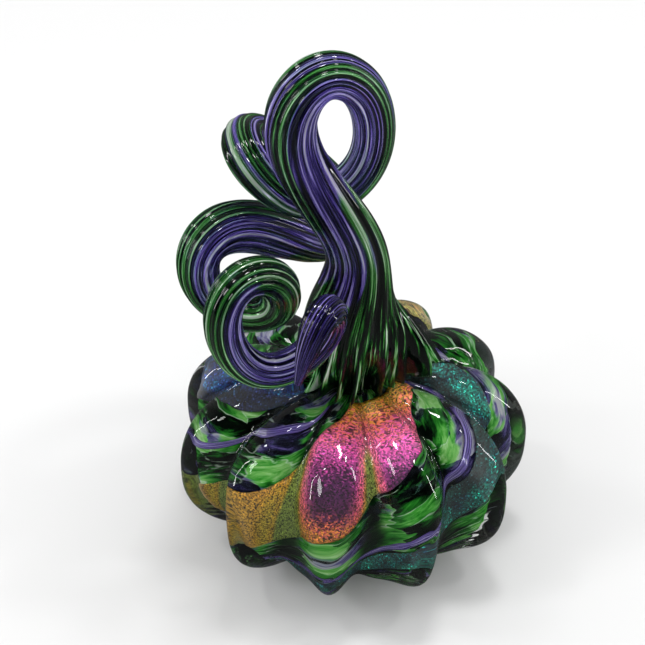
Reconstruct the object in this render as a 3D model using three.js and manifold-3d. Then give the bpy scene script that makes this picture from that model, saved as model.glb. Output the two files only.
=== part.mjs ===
import * as THREE from 'three';
import { mergeVertices } from 'three/addons/utils/BufferGeometryUtils.js';
import Module from 'manifold-3d';

// A blown glass pumpkin, in millimetres: hollow ribbed body standing on a flat foot,
// coloured layers cased in clear glass, and one solid curled stem set over the mouth.

// Ribbed body
const LOBES = 11;
const BODY_ACROSS = 110;
const HALF_HEIGHT = 32.7;
const FOOT_ACROSS = 40.7;
const VALLEY_DEPTH = 10.3;
const FIRST_LOBE_ANGLE = -7.5;
// Lobes broad at the crown, pinched and leaning at the foot, where the valleys fill up
const CREST_BREADTH = 0.5;
const CREST_PINCH = 0.4;
const CREST_LEAN = 0.45;
const LOW_VALLEY_FILL = 0.3;
const SIDE_ROUNDNESS = 0.766;
const TOP_ROUNDNESS = 0.802;
const CROWN_DIMPLE = 5;
const MOUTH_ACROSS = 16;

// Layers of the wall, from the outside in
const CASING_WALL = 2.4;
const STRIP_THICKNESS = 0.5;
const BUBBLE_WALL = 2.2;
const LAYER_GAP = 0.3;
// Extra glass under each crest: the wall is lobed most outside and least in the cavity
const CASING_FILL = 3.5;
const CAVITY_FILL = 5.5;

// Dichroic strips and violet trails: place round the crown and ends in degrees, width on the equator
const STRIP_TOP = 78;
const STRIP_BOTTOM = -38;
const TWIST_RATE = 0.78;
const TWIST_GAIN = 0.012;
const TWIST_GAIN_FROM = 25;
const ROSE_ANGLE = 36.5;
const ROSE_WIDTH = 45;
const TEAL_ANGLE = 117;
const TEAL_WIDTH = 25.9;
const GOLD_ANGLE = 214;
const GOLD_WIDTH = 41.3;
const BLUE_ANGLE = 306;
const BLUE_WIDTH = 25.9;
const TRAIL_WIDTH = 4.8;
const RIGHT_TRAIL_ANGLE = 98;
const LEFT_TRAIL_ANGLE = 343;

// Stem
const STEM_RIBS = 14;
const RIB_DEPTH = 0.07;
const ROOT_DEPTH = 0.3;
const ROOT_REACH = 34;
const ROOT_SPREAD = 0.2;
const STEM_TWIST_TURNS = 1.2;
const SEAT_GAP = 0.3;
const PLUG_LENGTH = 6;
const PLUG_OVERLAP = 4;

// Centre line of the stem: right, back, height above the crown, thickness
const CURL = [
  // foot on the crown, stalk leaning left
  [3, 2, -6, 46],
  [2, 1.5, 8, 38],
  [-1, 1, 21, 29.5],
  [0.5, 0, 34, 22],
  [1.5, 0.5, 46, 17.6],
  [-3.5, -2, 59, 16.3],
  [-12, -4.5, 73, 15.6],
  // first loop: up the left, over the top, down the right, back behind the stalk
  [-19, -4.5, 88, 15],
  [-16.5, -2, 101, 14.4],
  [-7.5, 2.5, 106, 13.2],
  [2.5, 6.5, 98.5, 12.4],
  [6, 10.5, 82, 12],
  [3.5, 14.5, 66, 12],
  [-4.5, 15.5, 55.5, 12.4],
  // second loop: out to the left, over backwards, down behind
  [-15.5, 12.5, 55, 12.8],
  [-25, 11, 62.5, 13.2],
  [-31.5, 15, 69, 13.4],
  [-33.5, 25, 70, 13.4],
  [-27.5, 36, 61.5, 13.4],
  [-16.5, 45.5, 46.5, 13.4],
  [-5.5, 47.5, 33.5, 13.6],
  [-3.5, 38, 26.5, 14],
  // third loop: forwards to the left, down the far left
  [-10, 27, 29, 15],
  [-23, 18, 40, 16],
  [-34, 8.5, 49.5, 16],
  [-41.5, 1, 51.5, 14.4],
  [-46, -4.5, 46, 12.6],
  [-43.5, -6.5, 35, 12],
  // fourth loop: the small curl in front
  [-31.5, -8.5, 28.5, 12],
  [-20, -11.5, 34.5, 12],
  [-20.5, -16, 49.5, 11.6],
  [-30, -23, 56.5, 11.2],
  [-37, -29, 49, 11],
  [-35.5, -31, 34.5, 10.8],
  [-26, -30.5, 24.5, 10.4],
  [-13, -27, 28, 10],
  // tail folded over and drawn to a point
  [-6, -26, 41, 9.8],
  [-6, -31, 51, 9.6],
  [-9, -37.5, 53.5, 9.4],
  [-12, -41.5, 46.5, 8],
  [-15, -40, 31, 2],
];

// Fineness of the surfaces
const OUTER_PER_LOBE = 6;
const OUTER_ROWS = 13;
const LAYER_PER_LOBE = 4;
const LAYER_ROWS = 11;
const CAVITY_PER_LOBE = 2;
const CAVITY_ROWS = 8;
const STRIP_ROWS = 9;
const STRIP_COLUMN_WIDTH = 15.2;
const STEM_STEPS = 3;
const STALK_STEPS = 2;
const STALK_SPANS = 6;

const radians = THREE.MathUtils.degToRad;
const smoothstep = THREE.MathUtils.smoothstep;
const bodyRadius = BODY_ACROSS / 2;
const mouthRadius = MOUTH_ACROSS / 2;
const mouthRound = mouthRadius / bodyRadius;
const mouthLatitude = Math.acos(Math.pow(mouthRound, 1 / SIDE_ROUNDNESS));
const footRound = FOOT_ACROSS / BODY_ACROSS;
const footLatitude = -Math.acos(Math.pow(footRound, 1 / SIDE_ROUNDNESS));
const equatorHeight = HALF_HEIGHT * Math.pow(Math.sin(-footLatitude), TOP_ROUNDNESS);

// Share of the radius and of the half height reached at a latitude.
function bodyProfile(latitude) {
  const rise = Math.sin(latitude);
  const round = Math.pow(Math.max(0, Math.cos(latitude)), SIDE_ROUNDNESS);
  const height = Math.sign(rise) * Math.pow(Math.abs(rise), TOP_ROUNDNESS);
  return { rise, round, height };
}

// Point of the ribbed body at an angle and a latitude, a depth below the outer face,
// and deeper under the crests where fill is given. The lobes die out at the mouth and at the flat foot.
function bodyPoint(angle, latitude, layerDepth, fill = 0) {
  const { rise, round, height } = bodyProfile(latitude);
  const above = Math.max(0, rise);
  const below = Math.max(0, -rise);
  const wave = LOBES * (angle - radians(FIRST_LOBE_ANGLE));
  const pinch = THREE.MathUtils.lerp(-CREST_BREADTH, CREST_PINCH, smoothstep(-rise, -0.7, 0.3));
  const lean = CREST_LEAN * smoothstep(-rise, -0.1, 0.7);
  const bulge = 0.5 + 0.5 * Math.cos(wave + pinch * Math.sin(wave) + lean * (1 - Math.cos(wave)));
  const valley = (1 - bulge) * (1 - LOW_VALLEY_FILL * below);
  const edge = rise > 0 ? smoothstep(round, mouthRound, 0.42) : smoothstep(round, footRound, 0.72);
  const groove = VALLEY_DEPTH / bodyRadius * valley * edge;
  const depth = layerDepth + fill * bulge * edge;
  const radius = (bodyRadius - depth) * round * (1 - groove * Math.min(1, 1.2 * round));
  const dimple = CROWN_DIMPLE * above * Math.exp(-Math.pow(round / 0.45, 2));
  const sink = 0.6 * HALF_HEIGHT * groove * Math.min(1, 1.5 * round) * (above - below);
  const z = equatorHeight + (HALF_HEIGHT - depth) * height - dimple - sink;
  return [radius * Math.sin(angle), -radius * Math.cos(angle), z];
}

// Angle by which a strip has turned from the crown down to a latitude.
function stripTurn(latitude) {
  const degrees = THREE.MathUtils.radToDeg(latitude);
  const lowest = Math.max(degrees, STRIP_BOTTOM);
  const lag = Math.max(0, TWIST_GAIN_FROM - lowest);
  return radians(TWIST_RATE * (90 - lowest) + TWIST_GAIN * lag * lag);
}

function rowLatitudes(rows, top, bottom) {
  const list = [];
  for (let row = 0; row <= rows; row += 1) {
    list.push(THREE.MathUtils.lerp(top, bottom, row / rows));
  }
  return list;
}

const wasm = await Module();
wasm.setup();

function solidFrom({ points, faces }) {
  const vertProperties = new Float32Array(points.flat());
  const triVerts = new Uint32Array(faces.flat());
  return new wasm.Manifold(new wasm.Mesh({ numProp: 3, vertProperties, triVerts }));
}

function surfaceOf(solid) {
  const shape = solid.getMesh();
  const points = [];
  for (let index = 0; index < shape.vertProperties.length; index += shape.numProp) {
    points.push(Array.from(shape.vertProperties.slice(index, index + 3)));
  }
  const faces = [];
  for (let index = 0; index < shape.triVerts.length; index += 3) {
    faces.push(Array.from(shape.triVerts.slice(index, index + 3)));
  }
  return { points, faces };
}

function glassMesh(name, { points, faces }, look) {
  const geometry = new THREE.BufferGeometry();
  geometry.setAttribute('position', new THREE.Float32BufferAttribute(points.flat(), 3));
  geometry.setIndex(faces.flat());
  geometry.computeVertexNormals();
  const mesh = new THREE.Mesh(geometry, new THREE.MeshStandardMaterial(look));
  mesh.name = name;
  return mesh;
}

// Face of the body from the mouth down to the foot, a depth below the outer face.
// The columns run along crests and valleys; a middle point closes it underneath.
function bodyFace(points, faces, { rows, perLobe, depth, fill, outwards }) {
  const latitudes = rowLatitudes(rows, mouthLatitude, footLatitude);
  const count = LOBES * perLobe;
  const first = points.length;
  for (const latitude of latitudes) {
    for (let column = 0; column < count; column += 1) {
      const angle = radians(FIRST_LOBE_ANGLE) + 2 * Math.PI * column / count;
      points.push(bodyPoint(angle, latitude, depth, fill));
    }
  }
  const bottom = points.length;
  points.push([0, 0, points[bottom - 1][2]]);
  const add = (a, b, c) => faces.push(outwards ? [a, b, c] : [a, c, b]);
  for (let row = 0; row < rows; row += 1) {
    for (let column = 0; column < count; column += 1) {
      const next = (column + 1) % count;
      const a = first + row * count + column;
      const b = first + row * count + next;
      add(a, a + count, b);
      add(b, a + count, b + count);
    }
  }
  const edge = first + rows * count;
  for (let column = 0; column < count; column += 1) {
    add(edge + column, bottom, edge + (column + 1) % count);
  }
  return { first, count };
}

// Hollow layer: outer face, inner face and the rim of the mouth between them.
function hollowLayer(outer, inner) {
  const points = [];
  const faces = [];
  const outside = bodyFace(points, faces, { ...outer, outwards: true });
  const inside = bodyFace(points, faces, { ...inner, outwards: false });
  let a = 0;
  let b = 0;
  while (a < outside.count || b < inside.count) {
    const here = outside.first + a % outside.count;
    const there = inside.first + b % inside.count;
    const outerFirst = (a + 1) / outside.count <= (b + 1) / inside.count;
    if (outerFirst) {
      a += 1;
      faces.push([here, outside.first + a % outside.count, there]);
    } else {
      b += 1;
      faces.push([here, inside.first + b % inside.count, there]);
    }
  }
  return { points, faces };
}

const stripFace = CASING_WALL + LAYER_GAP;
const stripBack = stripFace + STRIP_THICKNESS;
const bubbleFace = stripBack + LAYER_GAP;
const bubbleBack = bubbleFace + BUBBLE_WALL;
const layer = (depth) => ({ rows: LAYER_ROWS, perLobe: LAYER_PER_LOBE, depth, fill: CASING_FILL });
const stripLayer = solidFrom(hollowLayer(layer(stripFace), layer(stripBack)));

// Twisted sector of the wall, a strip wide, from inside the cavity to outside the casing.
function stripSector(angle, width) {
  const latitudes = rowLatitudes(STRIP_ROWS, radians(STRIP_TOP), radians(STRIP_BOTTOM));
  const columns = Math.ceil(width / STRIP_COLUMN_WIDTH);
  const across = columns + 1;
  const points = [];
  for (const scale of [1.3, 0.5]) {
    for (const latitude of latitudes) {
      const { round, height } = bodyProfile(latitude);
      const radius = scale * bodyRadius * round;
      const z = equatorHeight + scale * HALF_HEIGHT * height;
      for (let column = 0; column < across; column += 1) {
        const offset = width / bodyRadius * (column / columns - 0.5);
        const turn = radians(angle) + offset - stripTurn(latitude);
        points.push([radius * Math.sin(turn), -radius * Math.cos(turn), z]);
      }
    }
  }
  const back = latitudes.length * across;
  const faces = [];
  for (let row = 0; row < STRIP_ROWS; row += 1) {
    for (let column = 0; column < columns; column += 1) {
      const a = row * across + column;
      const b = a + 1;
      const c = a + across;
      const d = c + 1;
      faces.push([a, c, b], [b, c, d]);
      faces.push([a + back, b + back, c + back], [b + back, d + back, c + back]);
    }
  }
  const rim = [];
  for (let column = 0; column < columns; column += 1) rim.push(column);
  for (let row = 0; row < STRIP_ROWS; row += 1) rim.push(row * across + columns);
  for (let column = columns; column > 0; column -= 1) rim.push(STRIP_ROWS * across + column);
  for (let row = STRIP_ROWS; row > 0; row -= 1) rim.push(row * across);
  rim.forEach((a, index) => {
    const b = rim[(index + 1) % rim.length];
    faces.push([a, b, b + back], [a, b + back, a + back]);
  });
  return { points, faces };
}

// Thin piece of glass between casing and bubble, laid along the twist.
function stripMesh(name, angle, width, look) {
  const piece = stripLayer.intersect(solidFrom(stripSector(angle, width)));
  return glassMesh(name, surfaceOf(piece), look);
}

const clearGlass = { color: 0xdfe6e0, roughness: 0.05, metalness: 0 };
const greenGlass = { color: 0x1f7a2e, roughness: 0.08, metalness: 0 };
const violetGlass = { color: 0x4a2f8f, roughness: 0.08, metalness: 0 };
const stripedGlass = { color: 0x2b2348, roughness: 0.08, metalness: 0 };
const dichroic = (color) => ({ color, roughness: 0.3, metalness: 0.6 });

const outerFace = { rows: OUTER_ROWS, perLobe: OUTER_PER_LOBE, depth: 0, fill: 0 };
const cavityFace = { rows: CAVITY_ROWS, perLobe: CAVITY_PER_LOBE, depth: bubbleBack, fill: CAVITY_FILL };
const casing = glassMesh('clear_casing', hollowLayer(outerFace, layer(CASING_WALL)), clearGlass);
const bubble = glassMesh('colour_bubble', hollowLayer(layer(bubbleFace), cavityFace), greenGlass);
const strips = [
  stripMesh('rose_gold_strip', ROSE_ANGLE, ROSE_WIDTH, dichroic(0xc2447f)),
  stripMesh('teal_strip', TEAL_ANGLE, TEAL_WIDTH, dichroic(0x0f6f6a)),
  stripMesh('pale_gold_strip', GOLD_ANGLE, GOLD_WIDTH, dichroic(0xb99a3a)),
  stripMesh('blue_strip', BLUE_ANGLE, BLUE_WIDTH, dichroic(0x24408f)),
];
const trails = [
  stripMesh('violet_trail_right', RIGHT_TRAIL_ANGLE, TRAIL_WIDTH, violetGlass),
  stripMesh('violet_trail_left', LEFT_TRAIL_ANGLE, TRAIL_WIDTH, { ...violetGlass }),
];

// Smooth line through the bend of the stem, with its thickness.
function curlAt(span, part) {
  const at = (index) => {
    const last = CURL.length - 1;
    if (index < 0) return CURL[0].map((value, axis) => 2 * value - CURL[1][axis]);
    if (index > last) return CURL[last].map((value, axis) => 2 * value - CURL[last - 1][axis]);
    return CURL[index];
  };
  const t = part;
  const weights = [
    (1 - t) ** 3 / 6,
    (3 * t ** 3 - 6 * t ** 2 + 4) / 6,
    (-3 * t ** 3 + 3 * t ** 2 + 3 * t + 1) / 6,
    t ** 3 / 6,
  ];
  return [0, 1, 2, 3].map((axis) =>
    weights.reduce((sum, weight, offset) => sum + weight * at(span - 1 + offset)[axis], 0));
}

const crownHeight = bodyPoint(0, mouthLatitude, 0)[2];

// Rings of the stem: ribs all the way along, deepening to roots that spread sideways over the foot.
function stemSolid() {
  const line = [];
  for (let span = 0; span + 1 < CURL.length; span += 1) {
    const steps = span < STALK_SPANS ? STALK_STEPS : STEM_STEPS;
    for (let step = 0; step < steps; step += 1) line.push(curlAt(span, step / steps));
  }
  line.push(curlAt(CURL.length - 2, 1));
  const centres = line.map(([x, y, z]) => new THREE.Vector3(x, y, z + crownHeight));
  const lengths = [0];
  for (let index = 1; index < centres.length; index += 1) {
    lengths.push(lengths[index - 1] + centres[index].distanceTo(centres[index - 1]));
  }
  const total = lengths[lengths.length - 1];
  const side = new THREE.Vector3(1, 0, 0);
  const points = [];
  const sides = 2 * STEM_RIBS;
  centres.forEach((centre, index) => {
    const before = centres[Math.max(0, index - 1)];
    const after = centres[Math.min(centres.length - 1, index + 1)];
    const along = index === 0 ? new THREE.Vector3(0, 0, 1) : after.clone().sub(before).normalize();
    side.addScaledVector(along, -side.dot(along)).normalize();
    const up = along.clone().cross(side);
    const rooted = 1 - smoothstep(lengths[index], 0, ROOT_REACH);
    const depth = THREE.MathUtils.lerp(RIB_DEPTH, ROOT_DEPTH, rooted);
    const twist = 2 * Math.PI * STEM_TWIST_TURNS * lengths[index] / total;
    for (let corner = 0; corner < sides; corner += 1) {
      const angle = 2 * Math.PI * corner / sides + twist;
      const spoke = side.clone().multiplyScalar(Math.cos(angle)).addScaledVector(up, Math.sin(angle));
      const spread = 1 + ROOT_SPREAD * rooted * (spoke.x ** 2 - spoke.y ** 2);
      const radius = line[index][3] / 2 * spread * (corner % 2 === 0 ? 1 : 1 - depth);
      points.push(centre.clone().addScaledVector(spoke, radius).toArray());
    }
  });
  const faces = [];
  for (let ring = 0; ring + 1 < centres.length; ring += 1) {
    for (let corner = 0; corner < sides; corner += 1) {
      const next = (corner + 1) % sides;
      const a = ring * sides + corner;
      const b = ring * sides + next;
      faces.push([a, b, a + sides], [b, b + sides, a + sides]);
    }
  }
  const start = points.length;
  points.push(centres[0].toArray());
  const tip = points.length;
  const end = centres[centres.length - 1];
  points.push(end.clone().multiplyScalar(2).sub(centres[centres.length - 2]).lerp(end, 0.7).toArray());
  const lastRing = (centres.length - 1) * sides;
  for (let corner = 0; corner < sides; corner += 1) {
    const next = (corner + 1) % sides;
    faces.push([start, next, corner]);
    faces.push([tip, lastRing + corner, lastRing + next]);
  }
  return { points, faces };
}

// Outer face of the body, grown by the seat gap and closed over the mouth.
// It shapes the underside of the foot.
function bodyEnvelope() {
  const points = [];
  const faces = [];
  const { count } = bodyFace(points, faces, { ...outerFace, depth: -SEAT_GAP, outwards: true });
  const middle = points.length;
  points.push([0, 0, points[0][2]]);
  for (let column = 0; column < count; column += 1) {
    faces.push([column, (column + 1) % count, middle]);
  }
  return { points, faces };
}

// Short plug of stem glass that ran down into the mouth.
function mouthPlug() {
  const narrowest = Math.hypot(...bodyPoint(0, mouthLatitude, bubbleBack).slice(0, 2));
  const plugRadius = narrowest - SEAT_GAP;
  const height = PLUG_LENGTH + PLUG_OVERLAP;
  const plug = new THREE.CylinderGeometry(plugRadius, plugRadius, height, 2 * STEM_RIBS);
  plug.rotateX(Math.PI / 2);
  plug.translate(0, 0, crownHeight - PLUG_LENGTH + height / 2);
  plug.deleteAttribute('normal');
  plug.deleteAttribute('uv');
  const merged = mergeVertices(plug, 1e-4);
  const points = [];
  const position = merged.getAttribute('position');
  for (let index = 0; index < position.count; index += 1) {
    points.push([position.getX(index), position.getY(index), position.getZ(index)]);
  }
  const order = merged.getIndex().array;
  const faces = [];
  for (let index = 0; index < order.length; index += 3) {
    faces.push([order[index], order[index + 1], order[index + 2]]);
  }
  return { points, faces };
}

const rod = solidFrom(stemSolid());
const seated = rod.subtract(solidFrom(bodyEnvelope())).add(solidFrom(mouthPlug()));
const stem = glassMesh('stem', surfaceOf(seated), stripedGlass);

const pumpkin = new THREE.Group();
pumpkin.name = 'glass_pumpkin';
pumpkin.add(bubble, ...strips, ...trails, casing, stem);

export default pumpkin;
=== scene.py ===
import math
import bpy
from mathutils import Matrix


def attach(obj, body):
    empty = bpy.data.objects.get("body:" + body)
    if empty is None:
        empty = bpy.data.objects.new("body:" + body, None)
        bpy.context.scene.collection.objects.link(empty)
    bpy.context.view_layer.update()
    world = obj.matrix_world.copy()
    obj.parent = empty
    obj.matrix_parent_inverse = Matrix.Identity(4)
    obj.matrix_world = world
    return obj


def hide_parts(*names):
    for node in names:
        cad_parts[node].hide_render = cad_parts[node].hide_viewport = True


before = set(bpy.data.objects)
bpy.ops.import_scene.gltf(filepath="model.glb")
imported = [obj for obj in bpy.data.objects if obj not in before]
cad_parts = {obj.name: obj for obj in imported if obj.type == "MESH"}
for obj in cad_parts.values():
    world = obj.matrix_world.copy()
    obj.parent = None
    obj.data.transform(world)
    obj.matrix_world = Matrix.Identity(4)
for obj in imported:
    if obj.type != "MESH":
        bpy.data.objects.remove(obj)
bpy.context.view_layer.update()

# Wall of the body. The gather is blown into an eleven-lobed mould, twisted a little and set down on
# a paddled flat foot, so every layer of the wall follows one rule: a squat round with lobes that die
# out at the mouth and at the foot, taken a little deeper for each layer.
class Figure:
    """A number on a node's socket, so that a rule can be written as a formula."""

    def __init__(self, tree, socket):
        self.tree = tree
        self.socket = socket

    def work(self, operation, *others):
        """The outcome of a math node."""
        node = self.tree.nodes.new("ShaderNodeMath")
        node.operation = operation
        for slot, value in zip(node.inputs, (self, *others)):
            feed(self.tree, slot, value)
        return Figure(self.tree, node.outputs[0])

    def __add__(self, other):
        return self.work("ADD", other)

    def __sub__(self, other):
        return self.work("SUBTRACT", other)

    def __neg__(self):
        return self.work("MULTIPLY", -1)

    def __rsub__(self, other):
        return -self + other

    def __mul__(self, other):
        return self.work("MULTIPLY", other)

    def __truediv__(self, other):
        return self.work("DIVIDE", other)

    def __pow__(self, other):
        return self.work("POWER", other)

    __radd__ = __add__
    __rmul__ = __mul__

    def ramp(self, low, high, start=0.0, end=1.0, soft=True):
        """Goes from start to end while the figure goes from low to high."""
        node = add_node(self.tree, "ShaderNodeMapRange",
                        {"interpolation_type": "SMOOTHSTEP" if soft else "LINEAR"},
                        Value=self, From_Min=low, From_Max=high, To_Min=start, To_Max=end)
        return Figure(self.tree, node.outputs["Result"])

    def fall(self, low, high):
        """Goes from 1 to 0 while the figure goes from low to high."""
        return self.ramp(low, high, 1.0, 0.0)


def feed(tree, slot, value):
    """Links a figure or a socket to a node's input, or sets a plain value there."""
    value = value.socket if isinstance(value, Figure) else value
    if isinstance(value, bpy.types.NodeSocket):
        tree.links.new(value, slot)
    else:
        slot.default_value = value


def add_node(tree, kind, settings=None, **inputs):
    """A node with its settings, and its inputs given by name as values, sockets or figures."""
    node = tree.nodes.new(kind)
    for name, value in (settings or {}).items():
        setattr(node, name, value)
    for name, value in inputs.items():
        feed(tree, node.inputs[name.replace("_", " ")], value)
    return node


def vector_of(tree, x, y, z):
    """A vector made of three figures or values."""
    return add_node(tree, "ShaderNodeCombineXYZ", X=x, Y=y, Z=z).outputs[0]


def parts_of(tree, vector):
    """The three parts of a vector, as figures."""
    return [Figure(tree, part) for part in add_node(tree, "ShaderNodeSeparateXYZ", Vector=vector).outputs]


def vector_work(tree, operation, *vectors, **inputs):
    """The outcome of a vector math node, which is a number for a length or a dot product."""
    node = add_node(tree, "ShaderNodeVectorMath", {"operation": operation}, **inputs)
    for slot, vector in zip(node.inputs, vectors):
        feed(tree, slot, vector)
    return node.outputs["Value" if operation in ("LENGTH", "DOT_PRODUCT") else "Vector"]


def new_tree(name, inputs, outputs=(("Geometry", "NodeSocketGeometry"),)):
    """A node group with named inputs; returns it, its inputs as figures, and its output node."""
    kinds = {bpy.types.Material: "NodeSocketMaterial", bpy.types.Mesh: "NodeSocketGeometry"}
    tree = bpy.data.node_groups.new(name, "GeometryNodeTree")
    for label, value in inputs:
        if value in kinds:
            tree.interface.new_socket(label, in_out="INPUT", socket_type=kinds[value])
        else:
            kind = "NodeSocketInt" if isinstance(value, int) else "NodeSocketFloat"
            tree.interface.new_socket(label, in_out="INPUT", socket_type=kind).default_value = value
    for label, kind in outputs:
        tree.interface.new_socket(label, in_out="OUTPUT", socket_type=kind)
    source = tree.nodes.new("NodeGroupInput")
    given = {label: Figure(tree, source.outputs[label]) for label, _ in inputs}
    return tree, given, tree.nodes.new("NodeGroupOutput")


ACROSS, HALF_HEIGHT, FOOT_ACROSS, MOUTH_ACROSS = 0.110, 0.0327, 0.0407, 0.016
SIDE_ROUNDNESS, TOP_ROUNDNESS = 0.766, 0.802
CROWN_DIMPLE, DIMPLE_REACH = 0.005, 0.45
FIRST_LOBE = math.radians(-7.5)
mouth_latitude = math.acos((MOUTH_ACROSS / ACROSS) ** (1 / SIDE_ROUNDNESS))
foot_latitude = -math.acos((FOOT_ACROSS / ACROSS) ** (1 / SIDE_ROUNDNESS))
equator_height = HALF_HEIGHT * math.sin(-foot_latitude) ** TOP_ROUNDNESS

wall_rule, size, result = new_tree("blown_wall_rule", [
    ("Angle", 0.0), ("Latitude", 0.0), ("Depth", 0.0), ("Skin Depth", 0.0005),
    ("Radius", ACROSS / 2), ("Half Height", HALF_HEIGHT), ("Equator Height", equator_height),
    ("Side Roundness", SIDE_ROUNDNESS), ("Top Roundness", TOP_ROUNDNESS),
    ("Mouth Round", MOUTH_ACROSS / ACROSS), ("Mouth Blend", 0.42),
    ("Foot Round", FOOT_ACROSS / ACROSS), ("Foot Blend", 0.72),
    ("Lobes", 11.0), ("First Lobe", FIRST_LOBE), ("Lobe Fill", 0.0035),
    ("Crest Breadth", 0.5), ("Crest Pinch", 0.4), ("Crest Lean", 0.45),
    ("Valley Depth", 0.0103), ("Low Valley Fill", 0.3), ("Valley Sink", 0.6),
    ("Crown Dimple", CROWN_DIMPLE), ("Dimple Reach", DIMPLE_REACH),
], [("Point", "NodeSocketVector"), ("Crest", "NodeSocketFloat")])
rise = size["Latitude"].work("SINE")
drop = -rise
above, below = rise.work("MAXIMUM", 0), drop.work("MAXIMUM", 0)
around = size["Latitude"].work("COSINE").work("MAXIMUM", 0) ** size["Side Roundness"]
height = rise.work("SIGN") * rise.work("ABSOLUTE") ** size["Top Roundness"]

# Lobes are broad at the crown, pinched low down, and lean more towards the foot.
wave = size["Lobes"] * (size["Angle"] - size["First Lobe"])
pinch = drop.ramp(-0.7, 0.3, -size["Crest Breadth"], size["Crest Pinch"])
lean = drop.ramp(-0.1, 0.7) * size["Crest Lean"]
wave = wave + pinch * wave.work("SINE") + lean * (1 - wave.work("COSINE"))
bulge = wave.work("COSINE") * 0.5 + 0.5
valley = (1 - bulge) * (1 - size["Low Valley Fill"] * below)
upper = rise.work("GREATER_THAN", 0)
upper_edge = around.ramp(size["Mouth Round"], size["Mouth Blend"])
lower_edge = around.ramp(size["Foot Round"], size["Foot Blend"])
edge = upper * upper_edge + (1 - upper) * lower_edge
groove = size["Valley Depth"] / size["Radius"] * valley * edge
inner = size["Depth"].work("GREATER_THAN", size["Skin Depth"])
deep = size["Depth"] + size["Lobe Fill"] * bulge * edge * inner
side_fade, top_fade = (around * 1.2).work("MINIMUM", 1), (around * 1.5).work("MINIMUM", 1)
radius = (size["Radius"] - deep) * around * (1 - groove * side_fade)
dimple = size["Crown Dimple"] * above * (-(around / size["Dimple Reach"]) ** 2).work("EXPONENT")
sink = size["Half Height"] * groove * top_fade * (above - below) * size["Valley Sink"]
level = size["Equator Height"] + (size["Half Height"] - deep) * height - dimple - sink
right, front = radius * size["Angle"].work("SINE"), radius * size["Angle"].work("COSINE")
feed(wall_rule, result.inputs["Point"], vector_of(wall_rule, right, -front, level))
feed(wall_rule, result.inputs["Crest"], bulge * edge + 1 - edge)

# Turn for each degree down from the crown, and its growth below a latitude, in degrees.
TWIST, LAG_BELOW, LAG = 0.78, 25, 0.012


def twist_of(latitude):
    """Angle by which the wall has turned from the crown down to a latitude; low down it lags more."""
    degrees = latitude * math.degrees(1)
    lag = (LAG_BELOW - degrees).work("MAXIMUM", 0)
    return ((90 - degrees) * TWIST + lag * lag * LAG) * math.radians(1)


def position(tree):
    """The place of the points at hand."""
    return tree.nodes.new("GeometryNodeInputPosition").outputs[0]


def sheet_points(tree, columns, rows):
    """A flat sheet of points, with its two shares from 0 to 1."""
    grid = add_node(tree, "GeometryNodeMeshGrid", Size_X=1.0, Size_Y=1.0, Vertices_X=columns, Vertices_Y=rows)
    across, along, _ = parts_of(tree, position(tree))
    return grid.outputs["Mesh"], across + 0.5, along + 0.5


def keep(tree, geometry, name, kind, value):
    """The geometry with a named value kept on its points."""
    return add_node(tree, "GeometryNodeStoreNamedAttribute", {"data_type": kind, "domain": "POINT"},
                    Geometry=geometry, Name=name, Value=value).outputs[0]


def finish_tree(tree, geometry, glass, output, weld=2e-6):
    """Closes the seams, shades smooth and sets the glass."""
    joined = add_node(tree, "GeometryNodeMergeByDistance", Geometry=geometry, Distance=weld)
    smooth = add_node(tree, "GeometryNodeSetShadeSmooth", Geometry=joined.outputs[0])
    real = add_node(tree, "GeometryNodeRealizeInstances", Geometry=smooth.outputs[0])
    glazed = add_node(tree, "GeometryNodeSetMaterial", Geometry=real.outputs[0], Material=glass)
    feed(tree, output.inputs["Geometry"], glazed.outputs[0])


# Hollow layer: outer face up from the foot, over the rim of the mouth, inner face down to the foot.
FOOT_SHARE = 0.1
blown_layer, size, result = new_tree("blown_layer", [
    ("Outer Depth", 0.0), ("Inner Depth", 0.005), ("Columns", 265), ("Rows", 200),
    ("Mouth Latitude", mouth_latitude), ("Foot Latitude", foot_latitude), ("First Lobe", FIRST_LOBE),
    ("Glass", bpy.types.Material),
])
sheet, u, v = sheet_points(blown_layer, size["Columns"], size["Rows"])
angle = size["First Lobe"] + u * (2 * math.pi)
way = (v * 2 - 1).work("ABSOLUTE")
latitude = way.ramp(0, 1 - FOOT_SHARE, size["Mouth Latitude"], size["Foot Latitude"], soft=False)
shrink = (1 - way).ramp(0, FOOT_SHARE, soft=False)
inside = v.work("GREATER_THAN", 0.5)
depth = size["Outer Depth"] + (size["Inner Depth"] - size["Outer Depth"]) * inside
rule = add_node(blown_layer, "GeometryNodeGroup", {"node_tree": wall_rule},
                Angle=angle, Latitude=latitude, Depth=depth)
narrowed = vector_of(blown_layer, shrink, shrink, 1.0)
place = vector_work(blown_layer, "MULTIPLY", rule.outputs["Point"], narrowed)
lay = angle + twist_of(latitude)
twisted = vector_of(blown_layer, lay.work("COSINE") * shrink, lay.work("SINE") * shrink, latitude)
kept = keep(blown_layer, sheet, "lay", "FLOAT_VECTOR", twisted)
kept = keep(blown_layer, kept, "crest", "FLOAT", rule.outputs["Crest"])
shaped = add_node(blown_layer, "GeometryNodeSetPosition", Geometry=kept, Position=place)
finish_tree(blown_layer, shaped.outputs[0], size["Glass"], result)

# Colour bubble. The first gather, rolled in green, black and violet colour and blown hollow; the
# colour lies in streaks along the twist. It sits deepest in the wall, under the strips and the casing.
scene = bpy.context.scene


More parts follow.
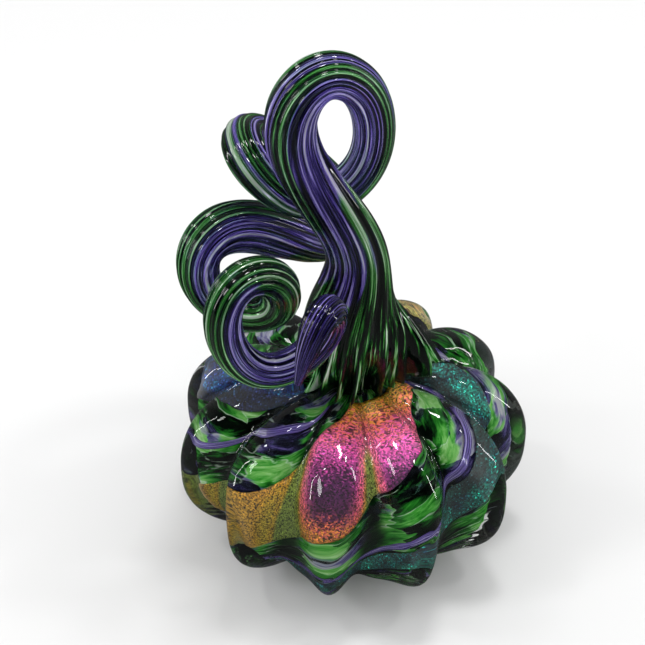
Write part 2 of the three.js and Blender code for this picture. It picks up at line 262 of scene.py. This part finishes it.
def grow(name, tree, values, base=None):
    """An object grown by a node tree with the given values, as a plain mesh at the origin."""
    seedling = bpy.data.objects.new(name, base or bpy.data.meshes.new(name + "_seed"))
    scene.collection.objects.link(seedling)
    modifier = seedling.modifiers.new("grow", "NODES")
    modifier.node_group = tree
    sockets = {item.name: item.identifier for item in tree.interface.items_tree if item.in_out == "INPUT"}
    for label, value in values.items():
        modifier[sockets[label]] = value
    bpy.context.view_layer.update()
    grown = bpy.data.meshes.new_from_object(seedling.evaluated_get(bpy.context.evaluated_depsgraph_get()))
    seedling.modifiers.remove(modifier)
    seedling.data = grown
    grown.name = name
    return seedling


def new_material(name):
    """A new material, its tree and its shader."""
    material = bpy.data.materials.new(name)
    material.use_nodes = True
    return material, material.node_tree, material.node_tree.nodes["Principled BSDF"]


def stored(tree, name):
    """A figure kept on the mesh under a name."""
    return Figure(tree, add_node(tree, "ShaderNodeAttribute", {"attribute_name": name}).outputs["Fac"])


def stored_vector(tree, name):
    """A vector kept on the mesh under a name."""
    return add_node(tree, "ShaderNodeAttribute", {"attribute_name": name}).outputs["Vector"]


def stretched(tree, vector, scale, shift=(0, 0, 0)):
    """A vector with each direction at its own scale."""
    return add_node(tree, "ShaderNodeMapping", Vector=vector, Scale=scale, Location=shift).outputs[0]


def cloud(tree, vector, scale=1.0, detail=2.0, roughness=0.5, distortion=0.0):
    """Smooth chance, around a half."""
    node = add_node(tree, "ShaderNodeTexNoise", Vector=vector, Scale=scale, Detail=detail,
                    Roughness=roughness, Distortion=distortion)
    return Figure(tree, node.outputs[0])


def chances(tree, cells):
    """Three figures from 0 to 1 that each cell of a pattern has by chance."""
    split = add_node(tree, "ShaderNodeSeparateColor", Color=cells.outputs["Color"])
    return [Figure(tree, part) for part in split.outputs]


def tint(tree, share, stops):
    """The colour of a share, between stops that each have a place and its red, green and blue."""
    node = add_node(tree, "ShaderNodeValToRGB", Fac=share)
    elements = node.color_ramp.elements
    while len(elements) < len(stops):
        elements.new(1.0)
    for element, (at, colour) in zip(elements, stops):
        element.position = at
        element.color = (*colour, 1)
    return node.outputs[0]


def blended(tree, share, first, second):
    """Two colours mixed by a share; each is a socket or red, green and blue."""
    node = add_node(tree, "ShaderNodeMix", {"data_type": "RGBA"}, Factor=share)
    for slot, colour in zip(node.inputs[6:8], (first, second)):
        feed(tree, slot, (*colour, 1) if isinstance(colour, tuple) else colour)
    return node.outputs[2]


BUBBLE_FACE, BUBBLE_BACK = 0.0035, 0.0056
# Painted light colours: pale green for painted glint lines, near black for painted shade in the valley
# creases.
painted_glint_pale, painted_crease_shade = (0.75, 0.92, 0.75), (0.003, 0.008, 0.005)
green_glass, tree, shader = new_material("green_glass")
lay = stored_vector(tree, "lay")
crest = stored(tree, "crest")
_, _, latitude = parts_of(tree, lay)

# Shards of colour, folded and streaked along the lay of the twist; painted shade darkens the valleys,
# painted light brightens the crests, and pale painted glint lines run along some shard borders.
fold = add_node(tree, "ShaderNodeTexNoise", Vector=stretched(tree, lay, (4, 4, 3)), Scale=1.0, Detail=3.0)
even = stretched(tree, lay, (4, 4, 4))
bent = vector_work(tree, "MULTIPLY_ADD", fold.outputs["Color"], (1.6, 1.6, 1.6), even)
shards = add_node(tree, "ShaderNodeTexVoronoi", Vector=bent, Scale=1.0)
borders = add_node(tree, "ShaderNodeTexVoronoi", {"feature": "DISTANCE_TO_EDGE"}, Vector=bent, Scale=1.0)
light_shard, smoky_shard, _ = chances(tree, shards)
patch = cloud(tree, stretched(tree, lay, (2.6, 2.6, 2.2), (5, 7, 4)))
wash = cloud(tree, stretched(tree, lay, (9, 9, 6)), detail=3, roughness=0.6, distortion=1.5)
streak = cloud(tree, stretched(tree, lay, (34, 34, 6)), detail=4, roughness=0.6, distortion=0.4)
light = light_shard * 0.28 + patch * 0.6 + wash * 0.5 + streak * 0.25 - 0.3
light = light + latitude.ramp(-0.7, 0.0, -0.04, 0.0) - latitude.ramp(0.2, 0.8, 0.0, 0.05)
# Painted light and shade: the crests a little lighter, the valleys a little darker.
light = light + crest.ramp(0.2, 1.0, -0.04, 0.05)
green = tint(tree, light, [
    (0.41, (0.002, 0.005, 0.003)), (0.46, (0.006, 0.05, 0.008)), (0.52, (0.018, 0.19, 0.018)),
    (0.6, (0.07, 0.4, 0.05)), (0.7, (0.25, 0.62, 0.16)), (0.84, (0.6, 0.88, 0.5))])
# The near-white top of the smoke ramp is partly clear glass and partly painted glints.
smoke = tint(tree, light, [
    (0.4, (0.004, 0.005, 0.007)), (0.5, (0.02, 0.025, 0.032)), (0.57, (0.06, 0.05, 0.18)),
    (0.64, (0.22, 0.18, 0.5)), (0.76, (0.85, 0.87, 0.95))])
zone = cloud(tree, stretched(tree, lay, (2.1, 2.1, 2.4), (7, 3, 1)), detail=3)
zone = zone + latitude.ramp(-0.6, -0.1, 0.08, 0.0)
smoky = (zone + (smoky_shard - 0.5) * 0.12).ramp(0.52, 0.58)
colour = blended(tree, smoky, green, smoke)
# Painted glints: thin pale lines along the shard borders, where the wash is light.
rim = Figure(tree, borders.outputs["Distance"]).fall(0.0, 0.04) * wash.ramp(0.45, 0.6)
colour = blended(tree, rim * 0.55, colour, painted_glint_pale)
# Painted shade: the valley creases between the lobes go near black.
colour = blended(tree, crest.ramp(0.0, 0.4, 0.95, 0.0), colour, painted_crease_shade)
feed(tree, shader.inputs["Base Color"], colour)
shader.inputs["Roughness"].default_value = 0.1
shader.inputs["IOR"].default_value = 1.0
feed(tree, shader.inputs["Transmission Weight"], smoky * 0.35 + 0.2)
bubble = grow("colour_bubble_glass", blown_layer, {
    "Outer Depth": BUBBLE_FACE, "Inner Depth": BUBBLE_BACK,
    "Columns": 199, "Rows": 140, "Glass": green_glass})
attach(bubble, "root")
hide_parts("colour_bubble")

# Dichroic strips. Thin sheets of metal-coated glass, picked up on the bubble, twisted with it and
# fused under the casing; the coating is crazed into fine grains that sparkle.
laid_strip, size, result = new_tree("laid_strip", [
    ("Angle", 0.0), ("Width", 0.75), ("Top", math.radians(78)), ("Bottom", math.radians(-38)),
    ("Face Depth", 0.0027), ("Back Depth", 0.0032),
    ("Right Spread", 0.0), ("Corner Spread", 0.0), ("Left Spread", 0.0), ("Edge Wave", 0.05), ("Seed", 0.0),
    ("Columns", 60), ("Rows", 120), ("Glass", bpy.types.Material),
])
both = laid_strip.nodes.new("GeometryNodeJoinGeometry")
for face in ("Face Depth", "Back Depth"):
    sheet, u, v = sheet_points(laid_strip, size["Columns"], size["Rows"])
    side = u * 2 - 1
    latitude = size["Bottom"] + (size["Top"] - size["Bottom"]) * v
    ragged = cloud(laid_strip, vector_of(laid_strip, side * 0.6, v * 9, size["Seed"]), detail=3.0)
    width = size["Width"] * (1 + (ragged - 0.5) * size["Edge Wave"] * 2)
    right = size["Right Spread"] * latitude.ramp(0.5, 1.15)
    right = right + size["Corner Spread"] * latitude.ramp(1.15, 1.36)
    left = size["Left Spread"] * latitude.ramp(0.6, 1.2)
    angle = size["Angle"] + width * side * 0.5 + right * u - left * (1 - u) - twist_of(latitude)
    thin = ((1 - side ** 8) * (1 - (v * 2 - 1) ** 40)).work("MAXIMUM", 0).work("SQRT")
    middle = (size["Face Depth"] + size["Back Depth"]) * 0.5
    rule = add_node(laid_strip, "GeometryNodeGroup", {"node_tree": wall_rule},
                    Angle=angle, Latitude=latitude, Depth=middle + (size[face] - middle) * thin)
    kept = keep(laid_strip, sheet, "run", "FLOAT_VECTOR", vector_of(laid_strip, side, 1 - v, 0.0))
    kept = keep(laid_strip, kept, "crest", "FLOAT", rule.outputs["Crest"])
    shaped = add_node(laid_strip, "GeometryNodeSetPosition", Geometry=kept, Position=rule.outputs["Point"])
    half = shaped.outputs[0]
    if face == "Back Depth":
        half = add_node(laid_strip, "GeometryNodeFlipFaces", Mesh=half).outputs[0]
    feed(laid_strip, both.inputs[0], half)
finish_tree(laid_strip, both.outputs[0], size["Glass"], result)

GRAINS_PER_METRE = 2700.0


def dichroic(name, colour_of, dark, painted_glint):
    """Crazed metal coating: each grain has its own hue, tilt and brightness, a few carry a painted glint, and
    faces turned up are painted lighter.
    """
    material, tree, shader = new_material(name)
    where = add_node(tree, "ShaderNodeTexCoord").outputs
    grains = add_node(tree, "ShaderNodeTexVoronoi", Vector=where["Object"], Scale=GRAINS_PER_METRE)
    hue, bright, tilt = chances(tree, grains)
    # Each grain's own brightness, plus a painted glint on the few grains tilted furthest.
    grain_tone_and_glint = bright.ramp(0.1, 0.9, dark, 1.3, soft=False) + tilt.ramp(0.9, 1.0, 0.0, painted_glint)
    _, _, upward = parts_of(tree, where["Normal"])
    # Painted light: faces turned up are painted lighter, faces turned down darker.
    painted_top_light = upward.ramp(-0.1, 0.85, 0.8, 1.15)
    colour = vector_work(tree, "SCALE", colour_of(tree, where["Object"], hue - 0.5), Scale=grain_tone_and_glint * painted_top_light)
    feed(tree, shader.inputs["Base Color"], colour)
    bump = add_node(tree, "ShaderNodeBump", Strength=0.6, Distance=0.0003, Height=tilt)
    feed(tree, shader.inputs["Normal"], bump.outputs[0])
    shader.inputs["Metallic"].default_value = 0.2
    shader.inputs["Roughness"].default_value = 0.35
    return material


def rose_gold(tree, where, grain):
    """Gold at the crown, then coral, magenta with a dark heart, and gold; olive in the lower valleys."""
    coral, violet_black, brown = (0.95, 0.17, 0.22), (0.025, 0.003, 0.04), (0.5, 0.16, 0.015)
    dark_red, gold, olive = (0.3, 0.03, 0.04), (0.7, 0.4, 0.02), (0.2, 0.34, 0.05)
    crest = stored(tree, "crest")
    _, down, _ = parts_of(tree, stored_vector(tree, "run"))
    across, deep, _ = parts_of(tree, where)
    leftward = (-across / (across * across + deep * deep).work("SQRT")).ramp(0.3, 0.48)
    share = down + (cloud(tree, where, 70.0) - 0.5) * 0.12 + grain * 0.1
    heart = crest.ramp(0.55, 0.95) * share.ramp(0.2, 0.36) * share.fall(0.48, 0.58) * (1 - leftward)
    share = share + leftward * 0.3
    coat = tint(tree, share, [
        (0.0, (0.45, 0.33, 0.02)), (0.035, (0.95, 0.38, 0.03)), (0.07, (1.0, 0.22, 0.09)),
        (0.115, (1.0, 0.15, 0.21)), (0.18, (0.9, 0.1, 0.45)), (0.34, (0.6, 0.05, 0.4)),
        (0.46, (0.85, 0.09, 0.22)), (0.54, (0.85, 0.15, 0.09)), (0.61, (0.75, 0.3, 0.02)),
        (0.75, (0.6, 0.33, 0.02)), (0.9, (0.6, 0.44, 0.03))])
    middle = share.ramp(0.14, 0.22) * share.fall(0.42, 0.5)
    coat = blended(tree, crest.ramp(0.5, 0.85, 0.75, 0.0) * middle, coat, coral)
    coat = blended(tree, heart * 0.95, coat, violet_black)
    coat = blended(tree, crest.ramp(0.6, 0.95) * leftward * 0.5, coat, brown)
    seam = crest.fall(0.02, 0.15) * down.fall(0.28, 0.34)
    coat = blended(tree, seam * 0.7, coat, dark_red)
    wedge = crest - down * 0.4
    bare = down.ramp(0.18, 0.3)
    coat = blended(tree, wedge.fall(0.04, 0.3) * bare * 0.75, coat, gold)
    return blended(tree, wedge.fall(-0.06, 0.1) * bare * 0.9, coat, olive)


def teal(tree, where, grain):
    """Blue green, worn to dark glass along the front edge of its upper half."""
    side, down, _ = parts_of(tree, stored_vector(tree, "run"))
    worn = ((cloud(tree, where, 60.0, 3.0) - 0.5) * 1.2 - side).ramp(-0.1, 0.4) * down.fall(0.5, 0.7)
    coat = tint(tree, cloud(tree, where, 160.0, 3.0) + grain * 0.25, [
        (0.32, (0.002, 0.02, 0.04)), (0.5, (0.004, 0.09, 0.09)), (0.68, (0.012, 0.26, 0.18))])
    return blended(tree, worn * 0.9, coat, (0.004, 0.012, 0.014))


def blue(tree, where, grain):
    """Blue, worn to near black along the edge that lies towards the front."""
    side, _, _ = parts_of(tree, stored_vector(tree, "run"))
    worn = (side + (cloud(tree, where, 60.0, 3.0) - 0.5) * 1.6).ramp(-0.1, 0.5)
    coat = tint(tree, cloud(tree, where, 160.0, 3.0) + grain * 0.25, [
        (0.32, (0.008, 0.01, 0.08)), (0.5, (0.013, 0.04, 0.2)), (0.68, (0.012, 0.16, 0.3))])
    return blended(tree, worn * 0.9, coat, (0.004, 0.005, 0.016))


def pale_gold(tree, where, grain):
    """Green gold, worn to streaked dark glass over its lower half."""
    run = stored_vector(tree, "run")
    _, down, _ = parts_of(tree, run)
    drift = cloud(tree, where, 90.0, 3.0)
    worn = (down + (cloud(tree, stretched(tree, run, (3, 9, 1)), detail=3) - 0.5) * 0.4).ramp(0.48, 0.62)
    coat = tint(tree, drift + grain * 0.3, [
        (0.3, (0.32, 0.34, 0.06)), (0.5, (0.5, 0.44, 0.1)), (0.7, (0.6, 0.3, 0.08))])
    bare = tint(tree, drift, [
        (0.4, (0.004, 0.008, 0.012)), (0.55, (0.012, 0.06, 0.05)), (0.65, (0.1, 0.16, 0.2))])
    return blended(tree, worn * 0.95, coat, bare)


# Each strip has its place round the crown in degrees, its width on the equator, its finish, how bright
# its dark grains and its painted glints are, and the angles in degrees by which its crown end differs.
rose_crown = {"Top": 81, "Right Spread": 9, "Corner Spread": 24, "Left Spread": 10}
strips = {
    "rose_gold_strip": (36.5, 0.045, "rose_gold_dichroic", rose_gold, 0.06, 1.0, rose_crown),
    "teal_strip": (117, 0.0259, "teal_dichroic", teal, 0.03, 6.0, {}),
    "pale_gold_strip": (214, 0.0413, "pale_gold_dichroic", pale_gold, 0.06, 0.8, {}),
    "blue_strip": (306, 0.0259, "blue_dichroic", blue, 0.03, 6.0, {}),
}
for seed, (node, (turn, width, slot, colour_of, dark, painted_glint, crown)) in enumerate(strips.items()):
    strip = grow(node + "_coating", laid_strip, {
        "Angle": math.radians(turn), "Width": width / (ACROSS / 2), "Seed": 3.0 * seed,
        **{label: math.radians(degrees) for label, degrees in crown.items()},
        "Glass": dichroic(slot, colour_of, dark, painted_glint)})
    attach(strip, "root")
    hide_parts(node)

# Violet trails. Threads of violet glass with white in it, wound on to the bubble beside the strips and
# fused in the same layer, under the casing. The white is partly clear glass and partly painted glints.
TRAIL_WIDTH = 0.0048
violet_glass, tree, shader = new_material("violet_glass")
thread = cloud(tree, stretched(tree, stored_vector(tree, "run"), (4, 5, 1)), detail=4, roughness=0.65)
feed(tree, shader.inputs["Base Color"], tint(tree, thread, [
    (0.36, (0.006, 0.005, 0.02)), (0.46, (0.05, 0.03, 0.22)), (0.55, (0.2, 0.13, 0.55)),
    (0.63, (0.5, 0.45, 0.85)), (0.7, (0.92, 0.92, 0.97))]))
shader.inputs["Roughness"].default_value = 0.15
shader.inputs["IOR"].default_value = 1.5
shader.inputs["Transmission Weight"].default_value = 0.3
for node, turn in (("violet_trail_right", 98), ("violet_trail_left", 343)):
    trail = grow(node + "_thread", laid_strip, {
        "Angle": math.radians(turn), "Width": TRAIL_WIDTH / (ACROSS / 2), "Columns": 16,
        "Seed": turn / 10, "Edge Wave": 0.3, "Glass": violet_glass})
    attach(trail, "root")
    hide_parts(node)

# Clear casing. The last gather of clear glass over everything, blown out in the ribbed mould and fire
# polished; in the finished wall it is fused to the layers inside, so the wall is one clear body.
CASING_WALL = 0.0058
clear_glass, tree, shader = new_material("clear_glass")
shader.inputs["Base Color"].default_value = (0.96, 0.98, 0.97, 1)
shader.inputs["Roughness"].default_value = 0.0
shader.inputs["IOR"].default_value = 1.5
shader.inputs["Transmission Weight"].default_value = 1.0
drawn = cloud(tree, stretched(tree, stored_vector(tree, "lay"), (9, 9, 2.4)), detail=0)
bump = add_node(tree, "ShaderNodeBump", Strength=0.25, Distance=0.0015, Height=drawn)
feed(tree, shader.inputs["Normal"], bump.outputs[0])
casing = grow("clear_casing_glass", blown_layer, {
    "Outer Depth": 0.0, "Inner Depth": CASING_WALL, "Columns": 309, "Rows": 260, "Glass": clear_glass})
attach(casing, "root")
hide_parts("clear_casing")

# Stem. A solid bit of glass striped with violet, green, black and clear cane, set hot over the mouth,
# pulled up, twisted and wound round a rod into four loops; its ribs spread into roots on the crown.
# Its centre line gives right, back, height above the mouth's rim and thickness, in millimetres. The rim's
# own height is in millimetres too, within 0.01 of what the wall rule gives.
CURL = [
    (3, 2, -6, 46), (2, 1.5, 8, 38), (-1, 1, 21, 29.5), (0.5, 0, 34, 22), (1.5, 0.5, 46, 17.6),
    (-3.5, -2, 59, 16.3), (-12, -4.5, 73, 15.6), (-19, -4.5, 88, 15), (-16.5, -2, 101, 14.4),
    (-7.5, 2.5, 106, 13.2), (2.5, 6.5, 98.5, 12.4), (6, 10.5, 82, 12), (3.5, 14.5, 66, 12),
    (-4.5, 15.5, 55.5, 12.4), (-15.5, 12.5, 55, 12.8), (-25, 11, 62.5, 13.2), (-31.5, 15, 69, 13.4),
    (-33.5, 25, 70, 13.4), (-27.5, 36, 61.5, 13.4), (-16.5, 45.5, 46.5, 13.4), (-5.5, 47.5, 33.5, 13.6),
    (-3.5, 38, 26.5, 14), (-10, 27, 29, 15), (-23, 18, 40, 16), (-34, 8.5, 49.5, 16),
    (-41.5, 1, 51.5, 14.4), (-46, -4.5, 46, 12.6), (-43.5, -6.5, 35, 12), (-31.5, -8.5, 28.5, 12),
    (-20, -11.5, 34.5, 12), (-20.5, -16, 49.5, 11.6), (-30, -23, 56.5, 11.2), (-37, -29, 49, 11),
    (-35.5, -31, 34.5, 10.8), (-26, -30.5, 24.5, 10.4), (-13, -27, 28, 10), (-6, -26, 41, 9.8),
    (-6, -31, 51, 9.6), (-9, -37.5, 53.5, 9.4), (-12, -41.5, 46.5, 8), (-15, -40, 31, 2),
]
RIM_HEIGHT = 59.83
centre_line = bpy.data.meshes.new("stem_line")
centre_line.from_pydata([(x / 1000, y / 1000, (z + RIM_HEIGHT) / 1000) for x, y, z, _ in CURL],
                        [(k, k + 1) for k in range(len(CURL) - 1)], [])
thickness = centre_line.attributes.new("thickness", "FLOAT", "POINT")
thickness.data.foreach_set("value", [thick / 1000 for *_, thick in CURL])


def recall(tree, name, kind="FLOAT"):
    """What was kept under a name on the points at hand, as a socket."""
    node = add_node(tree, "GeometryNodeInputNamedAttribute", {"data_type": kind}, Name=name)
    return node.outputs["Attribute"]


# Depths, spread, swell and tuck are shares of the rod's own radius; reaches, gap and wall are metres.
FRONT_RIGHT = (0.64, -0.77)
NEVER_ZERO = 1e-9
pulled_stem, size, result = new_tree("pulled_stem", [
    ("Line", bpy.types.Mesh), ("Steps", 620), ("Sides", 144), ("Turns", 1.2),
    ("Ribs", 18.0), ("Rib Depth", 0.09), ("Root Depth", 0.32), ("Root Reach", 0.034),
    ("Root Wander", 2.6), ("Root Swell", 0.6), ("Root Spread", 0.2), ("Front Tuck", 0.3),
    ("Toe Depth", 0.35), ("Toe Reach", 0.018), ("Seat Gap", 0.0003), ("Cutter Wall", 0.012),
    ("Glass", bpy.types.Material),
])
curve = add_node(pulled_stem, "GeometryNodeMeshToCurve", Mesh=size["Line"]).outputs[0]
curve = add_node(pulled_stem, "GeometryNodeCurveSplineType", {"spline_type": "NURBS"}, Curve=curve).outputs[0]
curve = add_node(pulled_stem, "GeometryNodeResampleCurve", Curve=curve, Count=size["Steps"]).outputs[0]
spline = pulled_stem.nodes.new("GeometryNodeSplineParameter").outputs
full_turn = Figure(pulled_stem, spline["Factor"]) * (2 * math.pi)
twist = size["Turns"] * full_turn
curve = add_node(pulled_stem, "GeometryNodeSetCurveTilt", Curve=curve, Tilt=twist).outputs[0]
curve = keep(pulled_stem, curve, "axis", "FLOAT_VECTOR", position(pulled_stem))
curve = keep(pulled_stem, curve, "along", "FLOAT", spline["Length"])
straight = add_node(pulled_stem, "GeometryNodeBlurAttribute", {"data_type": "FLOAT_VECTOR"},
                    Value=position(pulled_stem), Iterations=60).outputs[0]
inward = vector_work(pulled_stem, "SUBTRACT", straight, position(pulled_stem))
curve = keep(pulled_stem, curve, "inward", "FLOAT_VECTOR", inward)
ring = add_node(pulled_stem, "GeometryNodeCurvePrimitiveCircle", Resolution=size["Sides"], Radius=1.0)
ring = keep(pulled_stem, ring.outputs[0], "around", "FLOAT", full_turn)
half_thick = Figure(pulled_stem, recall(pulled_stem, "thickness")) * 0.5
rod = add_node(pulled_stem, "GeometryNodeCurveToMesh", Curve=curve, Profile_Curve=ring, Scale=half_thick,
               Fill_Caps=True).outputs[0]

along = Figure(pulled_stem, recall(pulled_stem, "along"))
turn = Figure(pulled_stem, recall(pulled_stem, "around"))
axis = recall(pulled_stem, "axis", "FLOAT_VECTOR")
round_x, round_y = turn.work("COSINE"), turn.work("SINE")
rooted = along.fall(0.0, size["Root Reach"])
toes = along.fall(0.0, size["Toe Reach"])

# Ribs are unevenly spaced; towards the crown they wander, sharpen and deepen into separate toes.
unequal = cloud(pulled_stem, vector_of(pulled_stem, round_x * 3, round_y * 3, along * 30), detail=1.0)
spacing = turn + (turn * 3 + 1).work("SINE") * 0.09 + (turn * 5 + 2).work("SINE") * 0.05
rib = size["Ribs"] * spacing * 0.5 + (unequal - 0.5) * rooted * size["Root Wander"]
rounded = rib.work("SINE").work("ABSOLUTE")
pointed = rounded ** 2.5
ridge = rounded + (pointed - rounded) * rooted
groove = size["Rib Depth"] + (size["Root Depth"] - size["Rib Depth"]) * rooted + size["Toe Depth"] * toes
cut = (1 - ridge) * groove * (unequal * 1.4 + 0.3)
spoke = vector_work(pulled_stem, "SUBTRACT", position(pulled_stem), axis)
part_x, part_y, _ = parts_of(pulled_stem, spoke)
square = part_x * part_x + part_y * part_y + NEVER_ZERO
sideways = (part_x * part_x - part_y * part_y) / square
forward = (part_x * FRONT_RIGHT[0] + part_y * FRONT_RIGHT[1]) / square.work("SQRT")
swell = (1 - cut) * (1 + sideways * size["Root Spread"] * rooted)
swell = swell * (1 + (unequal - 0.5) * rooted * size["Root Swell"])
swell = swell * (1 - forward.ramp(0.7, 0.92) * rooted * size["Front Tuck"])
moved = vector_work(pulled_stem, "ADD", axis, vector_work(pulled_stem, "SCALE", spoke, Scale=swell))

bend = vector_work(pulled_stem, "NORMALIZE", recall(pulled_stem, "inward", "FLOAT_VECTOR"))
facing = vector_work(pulled_stem, "DOT_PRODUCT", bend, vector_work(pulled_stem, "NORMALIZE", spoke))
kept = keep(pulled_stem, rod, "cane", "FLOAT_VECTOR", vector_of(pulled_stem, round_x, round_y, along))
kept = keep(pulled_stem, kept, "ridge", "FLOAT", ridge)
kept = keep(pulled_stem, kept, "inside", "FLOAT", facing)
shaped = add_node(pulled_stem, "GeometryNodeSetPosition", Geometry=kept, Position=moved)
block = add_node(pulled_stem, "GeometryNodeGroup", {"node_tree": blown_layer},
                 Outer_Depth=-size["Seat Gap"], Inner_Depth=size["Cutter Wall"], Columns=265, Rows=160)
seated = add_node(pulled_stem, "GeometryNodeMeshBoolean", {"operation": "DIFFERENCE", "solver": "MANIFOLD"})
feed(pulled_stem, seated.inputs["Mesh 1"], shaped.outputs[0])
feed(pulled_stem, seated.inputs["Mesh 2"], block.outputs[0])
finish_tree(pulled_stem, seated.outputs["Mesh"], size["Glass"], result)

striped_glass, tree, shader = new_material("striped_glass")
cane = stored_vector(tree, "cane")
ridge = stored(tree, "ridge")
_, _, along = parts_of(tree, cane)

# Lengths of cane, in metres from the foot: the foot itself, the heart of the front curl, the tail.
foot, tail = along.fall(0.02, 0.06), along.ramp(0.45, 0.475)
spiral = along.ramp(0.355, 0.37) * along.fall(0.395, 0.41)
stripe = cloud(tree, stretched(tree, cane, (6, 6, 6)), roughness=0.55)
streak = cloud(tree, stretched(tree, cane, (10, 10, 42)), detail=3, roughness=0.6)
hair = cloud(tree, stretched(tree, cane, (30, 30, 22)), roughness=0.6)
lengths = cloud(tree, stretched(tree, cane, (1.6, 1.6, 16), (0, 4, 0)), detail=1)
mixed = stripe * 0.48 + streak * 0.34 + hair * 0.18 + (lengths - 0.53) * 0.14 - ridge.ramp(0.0, 0.6, 0.1, 0.0)
fine = cloud(tree, stretched(tree, cane, (22, 22, 60)), detail=3, roughness=0.6) * 0.6 + streak * 0.4
fine = fine * 1.3 - 0.17 - ridge.ramp(0.4, 1.0, 0.06, 0.02)
mixed = mixed + (fine - mixed) * foot - tail * 0.035
# The white at the top of each ramp is partly clear cane and partly painted highlight streaks, which the finer
# pattern on the foot draws as thin white lines.
violet = tint(tree, mixed, [
    (0.43, (0.002, 0.002, 0.006)), (0.465, (0.016, 0.01, 0.09)), (0.5, (0.11, 0.07, 0.43)),
    (0.535, (0.34, 0.26, 0.8)), (0.575, (0.66, 0.61, 0.96)), (0.62, (1.0, 1.0, 1.0))])
green = tint(tree, mixed, [
    (0.45, (0.002, 0.004, 0.003)), (0.485, (0.007, 0.045, 0.01)), (0.52, (0.03, 0.27, 0.025)),
    (0.56, (0.28, 0.62, 0.26)), (0.61, (0.9, 1.0, 0.9))])
sector = cloud(tree, stretched(tree, cane, (1.3, 1.3, 5), (5, 0, 0)), detail=1)
sector = sector - stored(tree, "inside") * 0.1 + (stripe - 0.5) * 0.15
sector = sector + foot * 0.3 + spiral * 0.25 - tail * 0.3
feed(tree, shader.inputs["Base Color"], blended(tree, sector.ramp(0.47, 0.53), violet, green))
shader.inputs["Roughness"].default_value = 0.03
shader.inputs["IOR"].default_value = 1.5
feed(tree, shader.inputs["Transmission Weight"], 0.65 - foot * 0.25)
stem = grow("stem_glass", pulled_stem, {"Glass": striped_glass}, centre_line)
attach(stem, "root")
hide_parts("stem")

# Studio. A white paper sweep in an even white tent, seen from above the front of the pumpkin. Small
# lamps high up and two narrow strip lamps at the sides draw the thin highlights on the glass, and what
# is mirrored is a dim room, so that the dark glass stays dark.
scene.view_settings.view_transform = "Standard"
camera = bpy.data.objects.new("camera", bpy.data.cameras.new("camera"))
camera.data.sensor_width = 36
camera.data.lens = 93.6
camera.location = (0, -0.38271, 0.40184)
camera.rotation_euler = (math.radians(49.887), 0, math.radians(1.373))
scene.collection.objects.link(camera)
scene.camera = camera


def soft_box(name, place, aim, across, watts, tall=None):
    """A rectangular lamp at a place, turned to what it lights."""
    lamp = bpy.data.lights.new(name, "AREA")
    lamp.shape = "RECTANGLE"
    lamp.size = across
    lamp.size_y = tall or across
    lamp.energy = watts
    holder = bpy.data.objects.new(name, lamp)
    holder.location = place
    x, y, z = [b - a for a, b in zip(place, aim)]
    holder.rotation_euler = (math.atan2(math.hypot(x, y), -z), 0, math.atan2(-x, y))
    scene.collection.objects.link(holder)
    return holder


body_middle, stem_foot = (0, 0, 0.05), (0, 0, 0.08)
for side in (-1, 1):
    soft_box("glint_high", (0.5 * side, 0.05, 0.95), body_middle, across=0.1, watts=1.0)
    soft_box("strip_side", (0.8 * side, 0.05, 0.32), stem_foot, across=0.05, watts=1.2, tall=0.6)
soft_box("glint_top", (0.05, 0.15, 0.95), body_middle, across=0.14, watts=2.0)
soft_box("window_left", (-0.75, -0.35, 0.8), body_middle, across=0.25, watts=1.8)
key = soft_box("key", (0.3, 0.35, 0.95), body_middle, across=0.6, watts=1.5)
key.visible_glossy = False


def ray_kinds(tree):
    """Two figures: 1 on rays from the camera, straight or through glass, and 1 on mirrored rays."""
    path = add_node(tree, "ShaderNodeLightPath").outputs
    ray = {name: Figure(tree, socket) for name, socket in path.items()}
    straight = ray["Is Camera Ray"].work("MAXIMUM", ray["Is Transmission Ray"])
    return straight, ray["Is Glossy Ray"] * ray["Is Reflection Ray"]


TENT_LIGHT, TENT_SEEN, ROOM_LIGHT = 0.85, 1.0, 0.2
world = bpy.data.worlds.new("white_tent")
world.use_nodes = True
scene.world = world
tree = world.node_tree
straight, mirrored = ray_kinds(tree)
tent = straight.ramp(0.0, 1.0, TENT_LIGHT, TENT_SEEN, soft=False)
_, backward, _ = parts_of(tree, add_node(tree, "ShaderNodeTexCoord").outputs["Generated"])
room = backward.ramp(-0.35, 0.9, 0.0, ROOM_LIGHT)
sky = tree.nodes["Background"]
sky.inputs["Color"].default_value = (1, 1, 1, 1)
feed(tree, sky.inputs["Strength"], tent + (room - tent) * mirrored)

PAPER_WHITE, PAPER_MIRRORED = 0.7, 0.1
PAPER_HALF, FADE_FROM, FADE_TO = 3, 0.2, 0.6
white_paper, tree, shader = new_material("white_paper")
straight, mirrored = ray_kinds(tree)
feed(tree, shader.inputs["Base Color"], mirrored.ramp(0.0, 1.0, PAPER_WHITE, PAPER_MIRRORED, soft=False))
shader.inputs["Roughness"].default_value = 0.6
shader.inputs["Specular IOR Level"].default_value = 0.2
where = add_node(tree, "ShaderNodeTexCoord").outputs["Object"]
away = Figure(tree, vector_work(tree, "LENGTH", where))
backdrop = add_node(tree, "ShaderNodeEmission", Color=(1, 1, 1, 1), Strength=TENT_SEEN)
sweep = add_node(tree, "ShaderNodeMixShader", Fac=away.ramp(FADE_FROM, FADE_TO) * straight)
feed(tree, sweep.inputs[1], shader.outputs[0])
feed(tree, sweep.inputs[2], backdrop.outputs[0])
feed(tree, tree.nodes["Material Output"].inputs["Surface"], sweep.outputs[0])
paper = bpy.data.meshes.new("paper")
corners = ((-1, -1), (1, -1), (1, 1), (-1, 1))
paper.from_pydata([(x * PAPER_HALF, y * PAPER_HALF, 0) for x, y in corners], [], [(0, 1, 2, 3)])
paper.materials.append(white_paper)
floor = bpy.data.objects.new("sweep", paper)
scene.collection.objects.link(floor)
